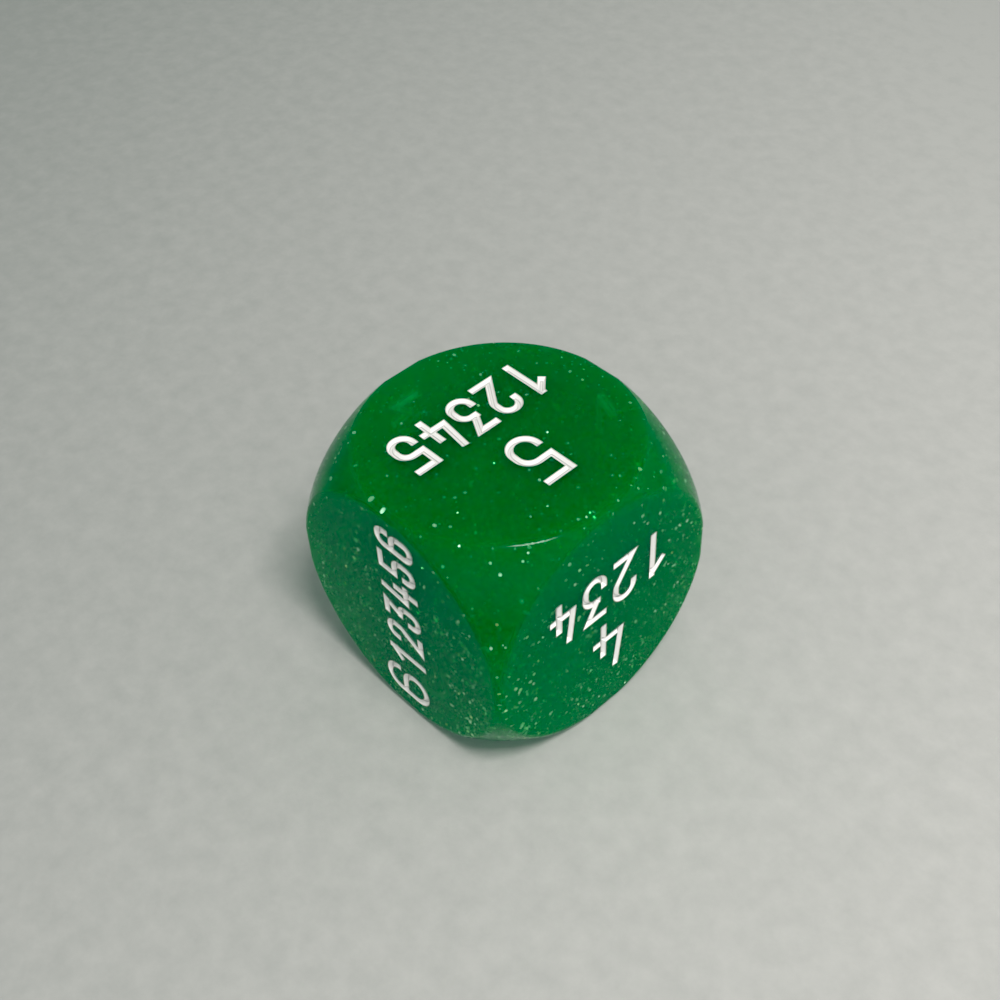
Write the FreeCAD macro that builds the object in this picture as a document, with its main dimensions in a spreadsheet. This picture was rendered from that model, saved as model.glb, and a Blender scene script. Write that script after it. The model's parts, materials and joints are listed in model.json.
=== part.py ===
import FreeCAD, Part
import math
import os
import random

# A six-sided die of clear green glitter resin: a cube whose corners are turned off by a sphere.
# Every face is engraved with its number and a row that counts up to it, lined with white paint.
# Millimetres. Origin: centre of the face it rests on. +Z points up, through the face marked five.

doc = FreeCAD.newDocument("Die")

# Driving dimensions -----------------------------------------------------------------------------

SIZES = [
    ("edge_length", 25.0),        # across opposite faces
    ("corner_radius", 17.45),     # radius of the sphere that cuts the corners, about the die's centre
    ("rim_rounding", 0.8),        # rounding of every rim between a face and a corner
    ("groove_width", 0.8),        # engraved stroke, across its mouth
    ("groove_floor", 0.25),       # engraved stroke, across its floor
    ("groove_depth", 0.5),
    ("paint_coat", 0.06),         # thickness of the paint on the groove's walls and floor
    ("paint_recess", 0.03),       # the paint stops this far below the face
    ("flake_across", 0.42),       # largest glitter flake, across flats
    ("flake_thickness", 0.05),
    ("flake_count", 90),
    ("flake_cover", 1.1),         # least resin between the surface and a flake's centre
    ("flake_spacing", 1.0),       # least distance between two flakes' centres
]

sheet = doc.addObject("Spreadsheet::Sheet", "sizes")
for row, (alias, value) in enumerate(SIZES, start=1):
    sheet.set("A%d" % row, alias)
    sheet.set("B%d" % row, str(value))
    sheet.setAlias("B%d" % row, alias)
doc.recompute()


def size(alias):
    """One driving dimension, read back from the sheet."""
    return float(sheet.get(alias))


half_edge = size("edge_length") / 2
centre = FreeCAD.Vector(0, 0, half_edge)

# The blank: a smaller sphere-cut cube, grown outwards by the rim's rounding ----------------------


def make_blank():
    cube = doc.addObject("Part::Box", "core_cube")
    for side in ("Length", "Width", "Height"):
        cube.setExpression(side, "sizes.edge_length - 2 * sizes.rim_rounding")
    cube.setExpression("Placement.Base.x", "sizes.rim_rounding - sizes.edge_length / 2")
    cube.setExpression("Placement.Base.y", "sizes.rim_rounding - sizes.edge_length / 2")
    cube.setExpression("Placement.Base.z", "sizes.rim_rounding")
    ball = doc.addObject("Part::Sphere", "core_ball")
    ball.setExpression("Radius", "sizes.corner_radius - sizes.rim_rounding")
    ball.setExpression("Placement.Base.z", "sizes.edge_length / 2")
    core = doc.addObject("Part::Common", "core")
    core.Base = cube
    core.Tool = ball
    blank = doc.addObject("Part::Offset", "blank")
    blank.Source = core
    blank.Mode = "Skin"
    blank.Join = "Arc"
    blank.setExpression("Value", "sizes.rim_rounding")
    return blank


# Engraved strokes --------------------------------------------------------------------------------
# A stroke is a list of (x, y, bend) points on a face's plane, with z = 0 at the face and the groove
# below it. An inner point turns by a round bend, or by a sharp mitre where bend is 0.

SHORTEST_RUN = 0.01


class Section:
    """Cross-section of a stroke: half widths at an upper and a lower level, with straight sides."""

    def __init__(self, upper, lower, inset):
        slope = (size("groove_width") - size("groove_floor")) / 2 / size("groove_depth")
        self.levels = []
        for level in (upper, lower):
            self.levels.append((size("groove_width") / 2 + slope * level - inset, level))


def groove_section():
    """The groove itself, carried a little above the face so that it cuts cleanly."""
    return Section(0.1, -size("groove_depth"), 0)


def paint_sections():
    """What the paint fills, and the channel that it leaves open."""
    drop = (size("groove_width") - size("groove_floor")) / 2
    slant = math.hypot(drop, size("groove_depth")) / size("groove_depth")
    outer = Section(-size("paint_recess"), -size("groove_depth"), 0)
    inner = Section(0.1, size("paint_coat") - size("groove_depth"), size("paint_coat") * slant)
    return outer, inner


def straight(start, end, start_turn, end_turn, section):
    """A straight run. A turn is None at a free end, which slopes like the sides, else the tangent of
    half the angle by which the stroke turns left there, so that two runs meet in a mitre."""
    along = (end - start).normalize()
    left = FreeCAD.Vector(-along.y, along.x, 0)
    mouth = size("groove_width") / 2
    rings = []
    for half, level in section.levels:
        lift = FreeCAD.Vector(0, 0, level)
        ring = []
        for point, turn, inwards in ((start, start_turn, 1), (end, end_turn, -1)):
            for side in (1, -1):
                if turn is None:
                    shift = inwards * (mouth - half)
                else:
                    shift = inwards * side * half * turn
                ring.append(point + along * shift + left * (side * half) + lift)
        rings.append(ring)
    upper, lower = rings
    faces = []
    for ring in rings:
        faces.append([ring[0], ring[1], ring[3], ring[2]])
    for first, second in ((0, 1), (1, 3), (3, 2), (2, 0)):
        faces.append([upper[first], upper[second], lower[second], lower[first]])
    shells = [Part.Face(Part.makePolygon(points + points[:1])) for points in faces]
    return Part.makeSolid(Part.makeShell(shells))


def bend(hub, start, angle, section):
    """A round bend about hub from start, positive angles turning left."""
    outwards = (start - hub).normalize()
    radius = (start - hub).Length
    (upper_half, upper), (lower_half, lower) = section.levels
    corners = []
    for offset, level in ((-upper_half, upper), (upper_half, upper), (lower_half, lower), (-lower_half, lower)):
        corners.append(hub + outwards * (radius + offset) + FreeCAD.Vector(0, 0, level))
    outline = Part.Face(Part.makePolygon(corners + corners[:1]))
    return outline.revolve(hub, FreeCAD.Vector(0, 0, 1), math.degrees(angle))


def turn_between(before, at, after):
    """Signed angle by which the stroke turns left at a point."""
    incoming = at - before
    outgoing = after - at
    return math.atan2(incoming.cross(outgoing).z, incoming.dot(outgoing))


def stroke_solids(points, section):
    """The runs and bends of one stroke."""
    spots = [FreeCAD.Vector(x, y, 0) for x, y, _ in points]
    solids = []
    run_start = spots[0]
    start_turn = None
    for index in range(1, len(points) - 1):
        before, at, after = spots[index - 1:index + 2]
        angle = turn_between(before, at, after)
        radius = points[index][2]
        if radius == 0:
            mitre = math.tan(angle / 2)
            solids.append(straight(run_start, at, start_turn, mitre, section))
            run_start = at
            start_turn = mitre
            continue
        reach = radius * math.tan(abs(angle) / 2)
        arrive = at - (at - before).normalize() * reach
        leave = at + (after - at).normalize() * reach
        inwards = FreeCAD.Vector(before.y - at.y, at.x - before.x, 0).normalize()
        hub = arrive + inwards * math.copysign(radius, angle)
        run = (arrive - run_start).dot((at - before).normalize())
        if run < -SHORTEST_RUN:
            raise ValueError("two bends of a stroke run into each other")
        if run > SHORTEST_RUN:
            solids.append(straight(run_start, arrive, start_turn, 0, section))
        solids.append(bend(hub, arrive, angle, section))
        run_start = leave
        start_turn = 0
    solids.append(straight(run_start, spots[-1], start_turn, None, section))
    return solids


# Numerals ----------------------------------------------------------------------------------------
# A numeral's strokes are given in its box: 0 to 1 across and up between the centre lines of its
# outer strokes. The third value is 1 for a corner rounded to half the box's width, 0 for a sharp one.

NUMERALS = {
    1: [[(0.6, 0, 0), (0.6, 1, 0)], [(0.05, 0.74, 0), (0.48, 0.93, 0)]],
    2: [[(0, 0.74, 0), (0, 1, 1), (1, 1, 1), (1, 0.6, 1), (0.1, 0, 0), (1, 0, 0)]],
    3: [[(0, 1, 0), (0.88, 1, 0), (0.42, 0.62, 0)],
        [(0.34, 0.57, 0), (1, 0.57, 1), (1, 0, 1), (0, 0, 1), (0, 0.26, 0)]],
    4: [[(0.2, 1, 0), (0, 0.3, 0), (1.05, 0.3, 0)], [(0.74, 0, 0), (0.74, 0.6, 0)]],
    5: [[(0.95, 1, 0), (0, 1, 0), (0, 0.57, 0), (1, 0.57, 1), (1, 0, 1), (0, 0, 1), (0, 0.26, 0)]],
    6: [[(1, 0.74, 0), (1, 1, 1), (0, 1, 1), (0, 0, 1), (1, 0, 1), (1, 0.57, 1), (0, 0.57, 0)]],
}


def numeral_strokes(number, middle, base, width, height):
    """The numeral's strokes, standing on base about middle. A free end passes its point by half a
    stroke, so that ends and bends reach the same lines."""
    stroke = size("groove_width")
    across = width - stroke
    up = height - stroke
    strokes = []
    for template in NUMERALS[number]:
        points = []
        for x, y, rounded in template:
            points.append([middle + (x - 0.5) * across, base + stroke / 2 + y * up, rounded * across / 2])
        for end, inner in ((points[0], points[1]), (points[-1], points[-2])):
            length = math.hypot(end[0] - inner[0], end[1] - inner[1])
            end[0] += (end[0] - inner[0]) / length * stroke / 2
            end[1] += (end[1] - inner[1]) / length * stroke / 2
        strokes.append(points)
    return strokes


def count_strokes(last, middle, base, width, height, pitch):
    """The small numerals from one up to last, in a row about middle."""
    strokes = []
    for number in range(1, last + 1):
        place = middle + (number - (last + 1) / 2) * pitch
        strokes += numeral_strokes(number, place, base, width, height)
    return strokes


# The six faces -----------------------------------------------------------------------------------
# Each row: number, its name, reading direction, upward direction of the marks, then two lines of
# marks. The first is the number: its middle, base, width and height on the face, along those two
# directions from the face's centre. The second counts up to it: the same four values, and the
# pitch. Opposite faces add up to seven.

X = FreeCAD.Vector(1, 0, 0)
Y = FreeCAD.Vector(0, 1, 0)
Z = FreeCAD.Vector(0, 0, 1)

FACES = [
    (1, "one", -X, Z, (0, 0.7, 3.4, 6.1), (0, -6.1, 2.75, 5.0, 3.25)),
    (2, "two", X, -Y, (0, 0.7, 3.4, 6.1), (0, -6.1, 2.75, 5.0, 3.25)),
    (3, "three", -Y, Z, (0, 0.7, 3.4, 6.1), (0, -6.1, 2.75, 5.0, 3.25)),
    (4, "four", -Y, -Z, (-0.3, 0.8, 3.7, 6.7), (-0.3, -6.0, 2.95, 5.5, 3.6)),
    (5, "five", -Y, X, (-0.4, 1.0, 3.4, 6.1), (-0.15, -6.1, 2.75, 5.0, 3.25)),
    (6, "six", Z, -X, (-8.7, -3.2, 3.5, 5.7), (2.4, -3.2, 2.35, 4.8, 2.85)),
]


def face_marks(face, section):
    """Solids of a face's marks, in the face's own plane."""
    number, _, _, _, numeral, count = face
    solids = []
    for points in numeral_strokes(number, *numeral) + count_strokes(number, *count):
        solids += stroke_solids(points, section)
    return solids[0].multiFuse(solids[1:]).removeSplitter()


def face_placement(face):
    """Puts a face's own plane onto the die."""
    _, _, reading, upward, _, _ = face
    outwards = reading.cross(upward)
    turn = FreeCAD.Rotation(reading, upward, outwards, "ZXY")
    return FreeCAD.Placement(centre + outwards * half_edge, turn)


def add_shape(name, shape, placement):
    feature = doc.addObject("Part::Feature", name)
    feature.Shape = shape
    feature.Placement = placement
    return feature


def add_grooves():
    grooves = []
    for face in FACES:
        marks = face_marks(face, groove_section())
        grooves.append(add_shape("groove_" + face[1], marks, face_placement(face)))
    return grooves


def add_paint():
    outer, inner = paint_sections()
    parts = []
    for face in FACES:
        lining = face_marks(face, outer).cut(face_marks(face, inner))
        parts.append(add_shape("paint_lining_" + face[1], lining, face_placement(face)))
    return parts


# Glitter -----------------------------------------------------------------------------------------
# Six-sided foil flakes, each in a pocket of its own size inside the resin.


def inside(point, cover):
    """True where a point has more than that much resin around it, grooves aside."""
    offset = point - centre
    flat = half_edge - cover
    if max(abs(offset.x), abs(offset.y), abs(offset.z)) > flat:
        return False
    return offset.Length < size("corner_radius") - cover


def flake(place, rolls):
    """One flake at a point, turned and sized by three draws."""
    radius = size("flake_across") / math.sqrt(3) * (0.6 + 0.4 * rolls.random())
    corners = []
    for step in range(6):
        angle = math.radians(60 * step)
        corners.append(FreeCAD.Vector(radius * math.cos(angle), radius * math.sin(angle), 0))
    outline = Part.Face(Part.makePolygon(corners + corners[:1]))
    solid = outline.extrude(FreeCAD.Vector(0, 0, size("flake_thickness")))
    axis = FreeCAD.Vector(math.cos(2 * math.pi * rolls.random()), 0.4, 0.7)
    solid.Placement = FreeCAD.Placement(place, FreeCAD.Rotation(axis, 360 * rolls.random()))
    return solid


def add_glitter():
    rolls = random.Random(11)
    places = []
    while len(places) < size("flake_count"):
        spot = FreeCAD.Vector(*[rolls.uniform(-half_edge, half_edge) for _ in range(3)]) + centre
        near = any((spot - other).Length < size("flake_spacing") for other in places)
        if inside(spot, size("flake_cover")) and not near:
            places.append(spot)
    flakes = Part.makeCompound([flake(place, rolls) for place in places])
    return add_shape("glitter_flakes", flakes, FreeCAD.Placement())


# Putting it together -----------------------------------------------------------------------------

blank = make_blank()
grooves = add_grooves()
paint = add_paint()
glitter = add_glitter()
hollows = doc.addObject("Part::Compound", "hollows")
hollows.Links = grooves + [glitter]
die_body = doc.addObject("Part::Cut", "die_body")
die_body.Base = blank
die_body.Tool = hollows
doc.recompute()

for item in doc.Objects:
    if "Invalid" in item.State or "Error" in item.State:
        raise RuntimeError("%s did not build: %s" % (item.Name, item.State))

sub_parts = [die_body] + paint + [glitter]
os.makedirs("parts", exist_ok=True)
for part in sub_parts:
    part.Label = part.Name
    if part.Shape.isNull() or not part.Shape.isValid():
        raise RuntimeError("%s has no valid shape" % part.Label)
for part in sub_parts:
    part.Shape.exportStep("parts/%s.step" % part.Label)
    print("%s: %.3f mm3, %d solids" % (part.Label, part.Shape.Volume, len(part.Shape.Solids)))
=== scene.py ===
import json
import math

import bmesh
import bpy
import numpy as np
from mathutils import Matrix, Vector
from mathutils.geometry import delaunay_2d_cdt

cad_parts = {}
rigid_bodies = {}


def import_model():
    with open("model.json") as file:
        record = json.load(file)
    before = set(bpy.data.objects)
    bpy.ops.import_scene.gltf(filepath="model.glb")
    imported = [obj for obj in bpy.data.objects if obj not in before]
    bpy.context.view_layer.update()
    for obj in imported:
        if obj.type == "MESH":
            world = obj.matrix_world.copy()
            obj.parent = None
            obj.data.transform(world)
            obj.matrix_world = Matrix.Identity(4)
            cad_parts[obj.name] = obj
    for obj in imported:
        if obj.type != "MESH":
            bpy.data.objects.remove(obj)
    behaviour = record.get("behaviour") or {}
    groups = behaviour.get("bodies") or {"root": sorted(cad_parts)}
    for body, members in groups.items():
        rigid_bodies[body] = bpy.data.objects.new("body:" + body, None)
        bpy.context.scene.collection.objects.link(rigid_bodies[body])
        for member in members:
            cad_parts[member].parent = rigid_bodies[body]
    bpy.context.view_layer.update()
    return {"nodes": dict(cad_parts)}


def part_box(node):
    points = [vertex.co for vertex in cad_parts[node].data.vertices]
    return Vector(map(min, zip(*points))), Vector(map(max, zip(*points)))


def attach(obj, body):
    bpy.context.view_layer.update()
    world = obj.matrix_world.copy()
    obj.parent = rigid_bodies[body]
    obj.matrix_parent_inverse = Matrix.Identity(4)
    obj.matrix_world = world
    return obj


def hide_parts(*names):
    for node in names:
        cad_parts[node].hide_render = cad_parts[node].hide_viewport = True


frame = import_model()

# A six-sided die of clear green glitter resin with white painted marks, on a sheet of pale paper.
# Metres throughout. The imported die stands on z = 0, centred on the Z axis.

MM = 0.001

# ---------------------------------------------------------------------------------------------
# Sizes, from the frame
# ---------------------------------------------------------------------------------------------

low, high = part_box("die_body")
HALF = (high.z - low.z) / 2            # from the die's centre to a face
CENTRE = Vector((0, 0, (low.z + high.z) / 2))
RIM = 0.064 * HALF                     # rounding of every rim
BALL = 1.396 * HALF                    # the sphere that cuts the corners
FACES = {                              # the way out through each numbered face
    "one": Vector((0, 1, 0)),
    "two": Vector((0, 0, -1)),
    "three": Vector((-1, 0, 0)),
    "four": Vector((1, 0, 0)),
    "five": Vector((0, 0, 1)),
    "six": Vector((0, -1, 0)),
}
PAINTS = {name: "paint_lining_" + name for name in FACES}


# ---------------------------------------------------------------------------------------------
# The outer shape: everything within RIM of a smaller cube whose corners a smaller ball cuts off
# ---------------------------------------------------------------------------------------------

CORE_HALF = HALF - RIM
CORE_BALL = BALL - RIM
SURELY_INSIDE = 0.9 * CORE_HALF        # every point this near the centre is inside
SURELY_OUTSIDE = 1.1 * BALL
HALVINGS = 60                          # of the stretch that holds the surface


def nearest_in_core(points):
    """The nearest point of the sphere-cut core to each point, about the die's centre."""
    signs = np.where(points < 0, -1.0, 1.0)
    size = np.abs(points)
    clamped = np.minimum(size, CORE_HALF)
    result = clamped.copy()
    outside = np.linalg.norm(clamped, axis=1) > CORE_BALL
    if outside.any():
        far = size[outside]
        order = np.argsort(-far, axis=1)
        ranked = np.take_along_axis(far, order, 1)
        on_ball = ranked * (CORE_BALL / np.linalg.norm(ranked, axis=1))[:, None]
        edge = math.sqrt(CORE_BALL**2 - CORE_HALF**2)
        on_edge = np.empty_like(ranked)
        on_edge[:, 0] = CORE_HALF
        on_edge[:, 1:] = ranked[:, 1:] * (edge / np.linalg.norm(ranked[:, 1:], axis=1))[:, None]
        past = on_edge[:, 1] > CORE_HALF
        on_edge[past, 1] = CORE_HALF
        on_edge[past, 2] = math.sqrt(CORE_BALL**2 - 2 * CORE_HALF**2)
        ranked = np.where((on_ball[:, 0] > CORE_HALF)[:, None], on_edge, on_ball)
        unranked = np.empty_like(ranked)
        np.put_along_axis(unranked, order, ranked, 1)
        result[outside] = unranked
    return result * signs


def on_surface(directions):
    """Points and normals of the outer shape along each direction from the die's centre."""
    near = np.full(len(directions), SURELY_INSIDE)
    far = np.full(len(directions), SURELY_OUTSIDE)
    for _ in range(HALVINGS):
        middle = (near + far) / 2
        points = directions * middle[:, None]
        inside = np.linalg.norm(points - nearest_in_core(points), axis=1) < RIM
        near = np.where(inside, middle, near)
        far = np.where(inside, far, middle)
    points = directions * near[:, None]
    normals = points - nearest_in_core(points)
    return points, normals / np.linalg.norm(normals, axis=1)[:, None]


# ---------------------------------------------------------------------------------------------
# The resin body
# ---------------------------------------------------------------------------------------------

AROUND = 320              # points round each flat face, a multiple of eight so that neighbours meet
ROWS = 34                 # rings from a flat face's rim to where its neighbour takes over
PROBES = 120              # trial points along each ring-to-ring line
ROW_LENGTH = 0.6 * MM     # rings come closer together the shorter this is
ROW_BEND = 0.07           # or the smaller this turn of the surface is, in radians
PAINT_OVERLAP = 0.02 * MM  # the resin's groove stands this far inside the paint, so that no gap shows
SKIN_LEAN = 0.05          # paint that leans this much away from the face's way out is against the resin
WELD = 1e-7               # points closer than this are one
BODY_WELD = 5 * WELD
OUTLINE_WELD = 1e-5       # the same for a flat face's outline, in millimetres
SHORTEST = 1e-12          # keeps a length that is divided by above zero


def plane_axes(outwards):
    """Two directions across a face, turning the same way about its outward one."""
    first = Vector((outwards.y, outwards.z, outwards.x))
    return first, outwards.cross(first)


def one_sixth():
    """What one face has of the rounded rims and corners, for a face that looks along Z: points in
    rings, the first round its flat part and the last where its neighbours take over."""
    turns = np.arange(AROUND) * (2 * math.pi / AROUND)
    sideways = np.stack([np.cos(turns), np.sin(turns)], axis=1)
    widest = np.abs(sideways).max(axis=1)
    flat_edge = np.minimum(math.sqrt(CORE_BALL**2 - CORE_HALF**2), CORE_HALF / widest)
    first, last = np.arctan(flat_edge / HALF), np.arctan(1 / widest)

    def along(shares):
        lean = np.tan(first + (last - first) * shares)
        out = np.dstack([lean[..., None] * sideways, np.ones(lean.shape)])
        out /= np.linalg.norm(out, axis=2)[..., None]
        points, normals = on_surface(out.reshape(-1, 3))
        return points.reshape(out.shape), normals.reshape(out.shape)

    steps = np.linspace(0, 1, PROBES)
    points, normals = along(np.repeat(steps[:, None], AROUND, axis=1))
    run = np.linalg.norm(np.diff(points, axis=0), axis=2) / ROW_LENGTH
    bend = np.linalg.norm(np.diff(normals, axis=0), axis=2) / ROW_BEND
    spent = np.vstack([np.zeros(AROUND), np.cumsum(run + bend, axis=0)])
    rows = np.linspace(0, 1, ROWS + 1)
    shares = [np.interp(rows * spent[-1, k], spent[:, k], steps) for k in range(AROUND)]
    return along(np.array(shares).T)[0].reshape(-1, 3)


SIXTH = one_sixth()


def patch(outwards):
    """The rounded surroundings of one flat face: points, four-sided cells, and the flat part's rim."""
    across, up = plane_axes(outwards)
    points = SIXTH @ np.array([across, up, outwards])
    cells = []
    for row in range(ROWS):
        for k in range(AROUND):
            after = (k + 1) % AROUND
            inner, outer = row * AROUND, (row + 1) * AROUND
            cells.append((inner + k, outer + k, outer + after, inner + after))
    rim = [(k, (k + 1) % AROUND) for k in range(AROUND)]
    return points, cells, rim


def groove_skin(node, outwards):
    """The paint's outer skin, drawn a little into the paint: the groove as the resin has it.
    Returns its points, its faces, and its mouth as pairs (point on the face's plane, skin point)."""
    source = bmesh.new()
    source.from_mesh(frame["nodes"][node].data)
    bmesh.ops.remove_doubles(source, verts=source.verts, dist=WELD)
    source.normal_update()
    skin = [f for f in source.faces if f.normal.dot(outwards) < -SKIN_LEAN]
    kept = set(skin)
    numbers = {}
    points = []
    mouth = {}
    for f in skin:
        for vert in f.verts:
            if vert in numbers:
                continue
            lean = sum((g.normal for g in vert.link_faces if g in kept), Vector()).normalized()
            at_mouth = any(g not in kept for g in vert.link_faces)
            place = vert.co - CENTRE - lean * PAINT_OVERLAP
            numbers[vert] = len(points)
            if at_mouth:
                sideways = lean - outwards * lean.dot(outwards)
                place = vert.co - CENTRE - sideways.normalized() * PAINT_OVERLAP - outwards * PAINT_OVERLAP
                level = vert.co - CENTRE
                mouth[vert] = level + outwards * (HALF - level.dot(outwards))
            points.append(place)
    faces = [tuple(numbers[v] for v in reversed(f.verts)) for f in skin]
    edges = []
    for f in skin:
        for edge in f.edges:
            if any(g not in kept for g in edge.link_faces):
                edges.append((edge.verts[0], edge.verts[1]))
    loops = [((mouth[a], numbers[a]), (mouth[b], numbers[b])) for a, b in edges]
    source.free()
    return points, faces, loops


def inside_outline(x, y, edges):
    """True where a point lies inside closed outlines given as edges, and not in a hole among them."""
    hits = 0
    for (ax, ay), (bx, by) in edges:
        if (ay > y) != (by > y) and x < ax + (y - ay) / (by - ay) * (bx - ax):
            hits += 1
    return hits % 2 == 1


def flat_face(outwards, rim, mouth):
    """Triangles over a flat face between its rim and the mouths of its grooves. The triangulation
    covers the grooves' mouths as well, so triangles there are left out."""
    across, up = plane_axes(outwards)
    flat = []
    numbers = {}
    edges = []
    for pair in rim + mouth:
        edge = []
        for point in pair:
            key = tuple(round(c / WELD) for c in point)
            if key not in numbers:
                numbers[key] = len(flat)
                flat.append(Vector((point.dot(across), point.dot(up))))
            edge.append(numbers[key])
        if edge[0] != edge[1]:
            edges.append(edge)
    scale = 1 / MM
    scaled = [point * scale for point in flat]
    verts, _, faces, _, _, _ = delaunay_2d_cdt(scaled, edges, [], 0, OUTLINE_WELD, False)
    outline = [(tuple(flat[a]), tuple(flat[b])) for a, b in edges]
    points = [across * (p.x / scale) + up * (p.y / scale) + outwards * HALF for p in verts]
    triangles = []
    for face in faces:
        x = sum(verts[k].x for k in face) / len(face) / scale
        y = sum(verts[k].y for k in face) / len(face) / scale
        if inside_outline(x, y, outline):
            triangles.append(tuple(face))
    return points, triangles


def build_body():
    """The resin body as one closed mesh, its rounded faces marked so that they can take exact normals."""
    mesh = bmesh.new()
    kind = mesh.faces.layers.int.new("kind")
    rounded = 1

    def add(points, faces, mark):
        verts = [mesh.verts.new(p) for p in points]
        for face in faces:
            mesh.faces.new([verts[k] for k in face])[kind] = mark

    for name, outwards in FACES.items():
        points, cells, rims = patch(outwards)
        points = [Vector(p) for p in points]
        add(points, cells, rounded)
        skin, skin_faces, mouth = groove_skin(PAINTS[name], outwards)
        add(skin, skin_faces, 0)
        lip = []
        lip_faces = []
        for (upper_a, lower_a), (upper_b, lower_b) in mouth:
            start = len(lip)
            lip += [upper_a, upper_b, skin[lower_b], skin[lower_a]]
            lip_faces.append((start, start + 1, start + 2, start + 3))
        add(lip, lip_faces, 0)
        rim = [(points[a], points[b]) for a, b in rims]
        add(*flat_face(outwards, rim, [(a[0], b[0]) for a, b in mouth]), 0)
    loose = [v for v in mesh.verts if not v.link_faces]
    bmesh.ops.delete(mesh, geom=loose, context="VERTS")
    bmesh.ops.remove_doubles(mesh, verts=mesh.verts, dist=BODY_WELD)
    bmesh.ops.recalc_face_normals(mesh, faces=mesh.faces)
    data = bpy.data.meshes.new("resin_body")
    mesh.to_mesh(data)
    open_edges = sum(1 for e in mesh.edges if not e.is_manifold)
    print("resin body:", len(data.polygons), "faces,", open_edges, "open edges")
    mesh.free()
    return data


def set_normals(data):
    """Exact normals on the rounded parts, and each face's own elsewhere."""
    count = len(data.vertices)
    co = np.empty(count * 3)
    data.vertices.foreach_get("co", co)
    co = co.reshape(-1, 3)
    near = nearest_in_core(co)
    exact = co - near
    length = np.linalg.norm(exact, axis=1)
    exact /= np.maximum(length, SHORTEST)[:, None]
    kinds = data.attributes["kind"].data
    normals = []
    for poly in data.polygons:
        poly.use_smooth = True
        for k in poly.vertices:
            normals.append(tuple(exact[k]) if kinds[poly.index].value else tuple(poly.normal))
    data.normals_split_custom_set(normals)


body_mesh = build_body()
set_normals(body_mesh)
body_mesh.transform(Matrix.Translation(CENTRE))
resin_body = bpy.data.objects.new("resin_body", body_mesh)
bpy.context.scene.collection.objects.link(resin_body)

# ---------------------------------------------------------------------------------------------
# Glitter
# ---------------------------------------------------------------------------------------------

SEED = 29
SCATTERED = 2600              # flakes tried all over the inside
IN_SKIN = 5600                # flakes tried just under the surface
SKIN = (0.2 * MM, 1.1 * MM)   # how deep those are
SKIN_TILT = 0.35              # how far those are from lying along the surface
STRANDS = 175                 # trails that the flow of the resin drew out near the bottom
TRAIL = 16                    # flakes along each
STEP = 0.33 * MM              # from flake to flake along a trail
UNEVEN = (0.5, 1.5)           # shortest and longest step, as shares of that
SWERVE = 0.22                 # how much a trail curves
WOBBLE = 0.3                  # how far flakes stand off their trail, as a share of a step
START_SPREAD = (1, 1, 0.6)    # where trails start, as shares of the half size
START_DROP = (0, 0, 0.35 * HALF)
HEADING = (1, 1, 0.45)        # trails run more sideways than up
IN_LAYER = 0.6                # share of the trails that lie near the surface
LAYER = (0.25 * MM, 1.8 * MM)  # how deep those are
LAYER_TILT = 0.6
SIDES = 6                     # of a flake
FLAKE_SMALL = 0.14 * MM       # across corners
FLAKE_LARGE = 0.42 * MM
MOSTLY_SMALL = 1.4            # above 1, small flakes outnumber large ones
FLAKE_THICKNESS = 0.012 * MM
COVER = 0.05 * MM             # least resin over a flake
SETTLED = 0.25                # glitter near the top, as a share of that at the bottom
SETTLING = 1.5                # above 1, most of the rest is close to the bottom
# The box round each face's marks, as its two far corners about the die's centre.
MARKS = [[np.array(corner - CENTRE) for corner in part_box(node)] for node in PAINTS.values()]


def room_for(spot, radius):
    """True where a flake of that radius stays under the surface and clear of the marks."""
    off = np.sort(np.abs(spot))
    depth = min(CORE_HALF - off[2], CORE_BALL - np.linalg.norm(spot))
    if depth > 0:
        depth += RIM
    else:
        depth = RIM - np.linalg.norm(spot - nearest_in_core(spot[None])[0])
    reach = radius + COVER
    return depth > reach and not any(
        (spot > near - reach).all() and (spot < far + reach).all() for near, far in MARKS)


def trail_spots(rolls):
    """Places along one curved trail in the lower part of the resin."""
    spot = rolls.uniform(-HALF, HALF, 3) * START_SPREAD - START_DROP
    heading = rolls.normal(size=3) * HEADING
    swerve = rolls.normal(size=3) * SWERVE
    spots = []
    for _ in range(TRAIL):
        heading = heading / np.linalg.norm(heading) + np.cross(heading, swerve)
        spot = spot + heading / np.linalg.norm(heading) * STEP * rolls.uniform(*UNEVEN)
        spots.append(spot + rolls.normal(size=3) * WOBBLE * STEP)
    return spots


def settled(rolls, spots):
    """Keeps more of the lower spots than of the upper ones."""
    share = SETTLED + (1 - SETTLED) * (0.5 - spots[:, 2] / (2 * HALF)) ** SETTLING
    return rolls.random(len(spots)) < share


def drawn_out(rolls, spots, depths, tilt):
    """Each spot moved out to just under the surface, with a direction it faces, nearly outwards."""
    skin, outwards = on_surface(spots / np.linalg.norm(spots, axis=1)[:, None])
    skin = skin - outwards * rolls.uniform(*depths, len(skin))[:, None]
    return skin, outwards + rolls.normal(size=skin.shape) * tilt


def glitter_spots(rolls):
    """Places for flakes, each with the direction it faces."""
    spots = rolls.uniform(-HALF, HALF, (SCATTERED, 3))
    spots = spots[settled(rolls, spots)]
    trails = np.array([trail_spots(rolls) for _ in range(STRANDS)])
    shallow = int(IN_LAYER * STRANDS)
    spots = np.vstack([spots, trails[shallow:].reshape(-1, 3)])
    layer, layer_facing = drawn_out(rolls, trails[:shallow].reshape(-1, 3), LAYER, LAYER_TILT)
    skin, skin_facing = drawn_out(rolls, rolls.normal(size=(IN_SKIN, 3)), SKIN, SKIN_TILT)
    kept = settled(rolls, skin)
    facing = rolls.normal(size=spots.shape)
    return np.vstack([spots, layer, skin[kept]]), np.vstack([facing, layer_facing, skin_facing[kept]])


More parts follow.
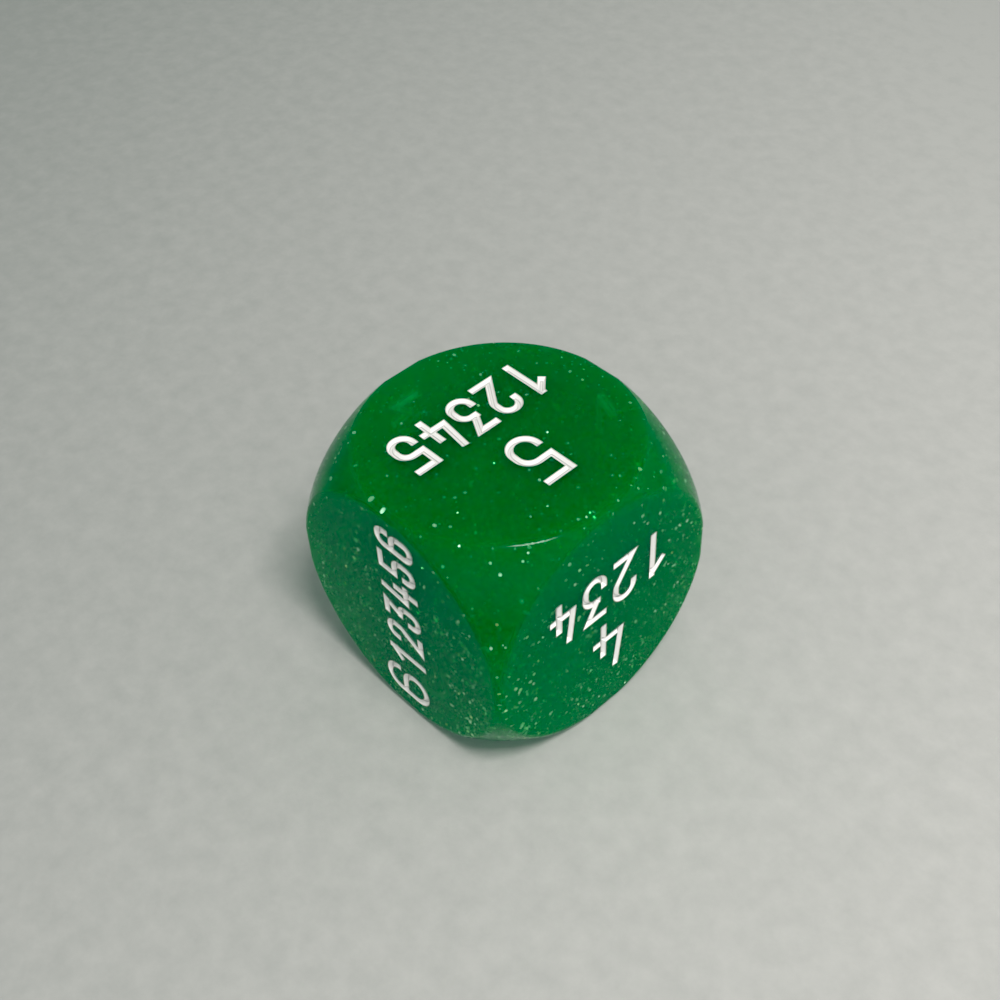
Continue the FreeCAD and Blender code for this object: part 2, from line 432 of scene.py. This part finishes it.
def flake(spot, facing, sideways, radius):
    """Corners of a thin six-sided flake: the ring at its back, then the one at its front."""
    across = sideways / np.linalg.norm(sideways)
    front = facing / np.linalg.norm(facing)
    up = np.cross(front, across)
    corners = []
    for lift in (-0.5, 0.5):
        for side in range(SIDES):
            angle = side * 2 * math.pi / SIDES
            flat = across * math.cos(angle) + up * math.sin(angle)
            corners.append(spot + flat * radius + front * lift * FLAKE_THICKNESS)
    return corners


def flake_faces(first):
    """A flake's faces, for corners numbered from first."""
    second = first + SIDES
    faces = [tuple(range(second - 1, first - 1, -1)), tuple(range(second, second + SIDES))]
    for side in range(SIDES):
        after = (side + 1) % SIDES
        faces.append((first + side, first + after, second + after, second + side))
    return faces


def build_glitter():
    """Thin flakes scattered through the resin, clear of the grooves."""
    rolls = np.random.default_rng(SEED)
    verts = []
    faces = []
    for spot, facing in zip(*glitter_spots(rolls)):
        radius = FLAKE_SMALL * (FLAKE_LARGE / FLAKE_SMALL) ** (rolls.random() ** MOSTLY_SMALL) / 2
        sideways = np.cross(facing, rolls.normal(size=3))
        if room_for(spot, radius):
            faces += flake_faces(len(verts))
            verts += flake(spot, facing, sideways, radius)
    data = bpy.data.meshes.new("glitter")
    data.from_pydata([tuple(v) for v in verts], [], faces)
    data.transform(Matrix.Translation(CENTRE))
    print("glitter:", len(verts) // (2 * SIDES), "flakes")
    return data


glitter = bpy.data.objects.new("glitter", build_glitter())
bpy.context.scene.collection.objects.link(glitter)

# ---------------------------------------------------------------------------------------------
# Materials
# ---------------------------------------------------------------------------------------------

GROOVE_DEPTH = 0.5 * MM
HAZE_SHARE = 0.25                  # of the resin's surface that looks cloudy
PASSED = (0.0, 0.68, 0.33, 1)      # the light that the resin lets through
ABSORPTION = 300.0                 # how strongly it takes up the rest, per metre


class Nodes:
    """A short way to write the node tree of a material or of the surroundings."""

    def __init__(self, owner):
        owner.use_nodes = True
        self.owner = owner
        self.tree = owner.node_tree
        self.tree.nodes.clear()

    def add(self, kind, inputs=None, **settings):
        node = self.tree.nodes.new(kind)
        for key, value in settings.items():
            setattr(node, key, value)
        for key, value in (inputs or {}).items():
            if isinstance(value, bpy.types.NodeSocket):
                self.tree.links.new(value, node.inputs[key])
            else:
                node.inputs[key].default_value = value
        return node

    def maths(self, operation, first, second=0.0):
        return self.add("ShaderNodeMath", {0: first, 1: second}, operation=operation).outputs[0]

    def ramp(self, factor, stops, blend="LINEAR"):
        node = self.add("ShaderNodeValToRGB", {"Fac": factor})
        node.color_ramp.interpolation = blend
        elements = node.color_ramp.elements
        while len(elements) < len(stops):
            elements.new(0.5)
        for element, (place, colour) in zip(elements, stops):
            element.position = place
            element.color = (*colour, 1)
        return node.outputs["Color"]

    def noise(self, scale, detail, roughness=0.5):
        """Noise with that many cells to a metre, and that many finer layers in it."""
        place = self.add("ShaderNodeTexCoord").outputs["Object"]
        inputs = {"Vector": place, "Scale": scale, "Detail": detail, "Roughness": roughness}
        return self.add("ShaderNodeTexNoise", inputs).outputs["Fac"]

    def finish(self, shader, volume=None, kind="ShaderNodeOutputMaterial"):
        out = self.add(kind, {"Surface": shader})
        if volume is not None:
            self.tree.links.new(volume, out.inputs["Volume"])
        return self.owner


def resin_material():
    """Clear resin that absorbs all but green, with a share that glows softly like a haze in it."""
    nodes = Nodes(bpy.data.materials.new("green_glitter_resin"))
    smears = nodes.noise(scale=900, detail=5, roughness=0.6)
    clouds = nodes.noise(scale=70, detail=3)
    haze = nodes.ramp(clouds, [(0.3, (0.005, 0.42, 0.054)), (0.7, (0.010, 0.49, 0.070))])
    bump = nodes.add("ShaderNodeBump", {"Height": smears, "Strength": 0.03, "Distance": 0.02 * MM})
    clear = nodes.add("ShaderNodeBsdfPrincipled", {
        "Base Color": (1, 1, 1, 1),
        "Roughness": 0.17,
        "IOR": 1.28,
        "Transmission Weight": 1.0,
    })
    cloudy = nodes.add("ShaderNodeBsdfPrincipled", {
        "Base Color": haze,
        "Roughness": 0.1,
        "IOR": 1.4,
        "Specular IOR Level": 0.25,
        "Subsurface Weight": 1.0,
        "Subsurface Radius": (0.2, 1.0, 0.4),
        "Subsurface Scale": 10 * MM,
        "Normal": bump.outputs["Normal"],
    })
    shares = {0: HAZE_SHARE, 1: clear.outputs[0], 2: cloudy.outputs[0]}
    mixed = nodes.add("ShaderNodeMixShader", shares)
    absorb = nodes.add("ShaderNodeVolumeAbsorption", {"Color": PASSED, "Density": ABSORPTION})
    return nodes.finish(mixed.outputs[0], absorb.outputs[0])


def paint_material():
    """White paint by its depth below the face: dark at the groove's mouth, and grey along its floor's
    edge, a painted shade where the walls meet the floor.
    """
    nodes = Nodes(bpy.data.materials.new("white_paint"))
    place = nodes.add("ShaderNodeTexCoord").outputs["Object"]
    centred = nodes.add("ShaderNodeVectorMath", {0: place, 1: tuple(CENTRE)}, operation="SUBTRACT")
    size = nodes.add("ShaderNodeVectorMath", {0: centred.outputs[0]}, operation="ABSOLUTE")
    parts = nodes.add("ShaderNodeSeparateXYZ", {0: size.outputs[0]})
    further = nodes.maths("MAXIMUM", parts.outputs[1], parts.outputs[2])
    furthest = nodes.maths("MAXIMUM", parts.outputs[0], further)
    depth = nodes.maths("MULTIPLY", nodes.maths("SUBTRACT", HALF, furthest), 1 / GROOVE_DEPTH)
    colour = nodes.ramp(depth, [
        (0.05, (0.40, 0.36, 0.30)),
        (0.13, (0.93, 0.92, 0.90)),
        (0.70, (0.93, 0.91, 0.90)),
        # painted shade: the grey line where the groove's walls meet its floor
        (0.83, (0.30, 0.30, 0.29)),
        (0.90, (0.86, 0.85, 0.83)),
    ])
    speckle = nodes.noise(scale=6000, detail=5, roughness=0.6)
    bump = nodes.add("ShaderNodeBump", {"Height": speckle, "Strength": 0.35, "Distance": 0.02 * MM})
    roughness = nodes.ramp(speckle, [(0.3, (0.5, 0.5, 0.5)), (0.7, (0.75, 0.75, 0.75))])
    shader = nodes.add("ShaderNodeBsdfPrincipled", {
        "Base Color": colour,
        "Roughness": roughness,
        "Normal": bump.outputs["Normal"],
    })
    return nodes.finish(shader.outputs[0])


def glitter_material():
    """Silver foil, each flake of its own tint."""
    nodes = Nodes(bpy.data.materials.new("silver_glitter"))
    chance = nodes.add("ShaderNodeNewGeometry").outputs["Random Per Island"]
    colour = nodes.ramp(chance, [
        (0.0, (0.95, 1.0, 0.90)),
        (0.6, (0.90, 1.0, 0.80)),
        (0.9, (0.80, 1.0, 0.55)),
        (0.98, (1.0, 0.78, 0.35)),
    ])
    shader = nodes.add("ShaderNodeBsdfPrincipled", {
        "Base Color": colour,
        "Metallic": 0.85,
        "Roughness": 0.36,
    })
    return nodes.finish(shader.outputs[0])


resin_body.data.materials.append(resin_material())
glitter.data.materials.append(glitter_material())
white_paint = paint_material()
for node in PAINTS.values():
    frame["nodes"][node].material_slots[0].material = white_paint

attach(resin_body, "root")
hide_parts("die_body")
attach(glitter, "root")
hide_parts("glitter_flakes")

# ---------------------------------------------------------------------------------------------
# Paper, light and camera
# ---------------------------------------------------------------------------------------------

PAPER_GAP = 0.02 * MM
PAPER_REACH = 1.2             # from its middle to its edges
PAPER_PAINTED_LIGHT_SPAN = 150 * MM        # painted light: the paper's colour grows lighter towards the right of the view over this much of the way across
PAPER_BLOTCHES = 0.9          # how much its tone varies from place to place
PAPER_TONE = 0.08             # the tone's place between darkest and lightest before both
CAMERA_AZIMUTH = 48.77
LIGHT_COLOUR = (1.0, 1.0, 0.97)
BOUNCES = 24                  # enough for light to get through the resin and its flakes
BLACK_LEVEL = (0.041, 0.0, 0.01)  # this much red, green and blue shows as none, for strong greens


def direction(azimuth, elevation):
    """Unit vector towards a viewer at that azimuth, 0 being in front, and elevation."""
    a, e = math.radians(azimuth), math.radians(elevation)
    return Vector((math.sin(a) * math.cos(e), -math.cos(a) * math.cos(e), math.sin(e)))


def paper_material():
    nodes = Nodes(bpy.data.materials.new("paper"))
    blotches = nodes.noise(scale=420, detail=5, roughness=0.62)
    fibres = nodes.noise(scale=1400, detail=6, roughness=0.7)
    place = nodes.add("ShaderNodeTexCoord").outputs["Object"]
    # painted light: the paper's colour grows lighter towards the right of the view, standing in for light
    # that falls more strongly there
    rightwards = {0: place, 1: direction(CAMERA_AZIMUTH + 90, 0)}
    aside = nodes.add("ShaderNodeVectorMath", rightwards, operation="DOT_PRODUCT")
    across = nodes.maths("MULTIPLY", aside.outputs["Value"], 1 / PAPER_PAINTED_LIGHT_SPAN)
    uneven = nodes.maths("MULTIPLY", blotches, PAPER_BLOTCHES)
    blotches_and_painted_light = nodes.maths("ADD", uneven, nodes.maths("ADD", across, PAPER_TONE))
    tone = nodes.ramp(blotches_and_painted_light, [(0.0, (0.41, 0.40, 0.39)), (1.0, (0.565, 0.55, 0.535))])
    bump = nodes.add("ShaderNodeBump", {"Height": fibres, "Strength": 0.25, "Distance": 0.1 * MM})
    shader = nodes.add("ShaderNodeBsdfPrincipled", {
        "Base Color": tone,
        "Roughness": 0.85,
        "Specular IOR Level": 0.2,
        "Normal": bump.outputs["Normal"],
    })
    return nodes.finish(shader.outputs[0])


def add_paper():
    data = bpy.data.meshes.new("paper")
    far = PAPER_REACH
    data.from_pydata([(-far, -far, 0), (far, -far, 0), (far, far, 0), (-far, far, 0)], [], [(0, 1, 2, 3)])
    paper = bpy.data.objects.new("paper", data)
    paper.location.z = low.z - PAPER_GAP
    paper.data.materials.append(paper_material())
    bpy.context.scene.collection.objects.link(paper)


def add_panel(name, azimuth, elevation, distance, length, depth, power):
    """A soft oblong light that faces the die, its long side across the camera's view."""
    data = bpy.data.lights.new(name, "AREA")
    data.shape = "RECTANGLE"
    data.size = length
    data.size_y = depth
    data.energy = power
    data.color = LIGHT_COLOUR
    light = bpy.data.objects.new(name, data)
    towards = direction(azimuth, elevation)
    upwards = towards.cross(direction(CAMERA_AZIMUTH + 90, 0)).normalized()
    turn = Matrix((upwards.cross(towards), upwards, towards)).transposed().to_4x4()
    light.matrix_world = Matrix.Translation(CENTRE + towards * distance) @ turn
    bpy.context.scene.collection.objects.link(light)


def add_surroundings(azimuth, levels, dim, bright):
    """A plain room: a level of light for each height in the view, brighter towards one side."""
    world = bpy.data.worlds.new("room")
    nodes = Nodes(world)
    outwards = nodes.add("ShaderNodeTexCoord").outputs["Generated"]
    height = nodes.add("ShaderNodeSeparateXYZ", {0: outwards}).outputs["Z"]
    level = nodes.ramp(height, [(z, (shade, shade, shade)) for z, shade in levels], blend="EASE")
    towards = {0: outwards, 1: direction(azimuth, 0)}
    side = nodes.add("ShaderNodeVectorMath", towards, operation="DOT_PRODUCT").outputs["Value"]
    span = {"Value": side, "From Min": -1, "To Min": dim, "To Max": bright}
    share = nodes.add("ShaderNodeMapRange", span).outputs["Result"]
    strength = nodes.maths("MULTIPLY", level, share)
    light = nodes.add("ShaderNodeBackground", {"Color": (*LIGHT_COLOUR, 1), "Strength": strength})
    nodes.finish(light.outputs[0], kind="ShaderNodeOutputWorld")
    bpy.context.scene.world = world


def add_camera(azimuth, elevation, roll, distance, aside, below, lens):
    """A camera that sees the die's centre a little to the right of and below the picture's centre."""
    back = direction(azimuth, elevation)
    right = Vector((0, 0, 1)).cross(back).normalized()
    up = back.cross(right)
    tilt = Matrix.Rotation(math.radians(roll), 3, -back)
    right, up = tilt @ right, tilt @ up
    data = bpy.data.cameras.new("camera")
    data.lens = lens
    data.sensor_width = 36
    data.clip_start = 0.005
    camera = bpy.data.objects.new("camera", data)
    place = CENTRE + back * distance - right * aside + up * below
    turn = Matrix((right, up, back)).transposed().to_4x4()
    camera.matrix_world = Matrix.Translation(place) @ turn
    bpy.context.scene.collection.objects.link(camera)
    bpy.context.scene.camera = camera


add_paper()
add_panel("ceiling", azimuth=76, elevation=63, distance=0.32, length=0.10, depth=0.07, power=0.74)
add_surroundings(
    azimuth=72,
    levels=[(0.0, 0.3), (0.12, 0.55), (0.3, 0.8), (0.5, 0.7), (0.65, 0.35), (1.0, 0.25)],
    dim=0.6,
    bright=1.45,
)
add_camera(
    azimuth=CAMERA_AZIMUTH,
    elevation=45.27,
    roll=3.22,
    distance=10.257 * HALF,
    aside=0.0297 * HALF,
    below=0.2835 * HALF,
    lens=52.33,
)
view = bpy.context.scene.view_settings
view.view_transform = "Standard"
view.use_curve_mapping = True
view.curve_mapping.black_level = BLACK_LEVEL
view.curve_mapping.update()
cycles = bpy.context.scene.cycles
cycles.max_bounces = BOUNCES
cycles.transmission_bounces = BOUNCES
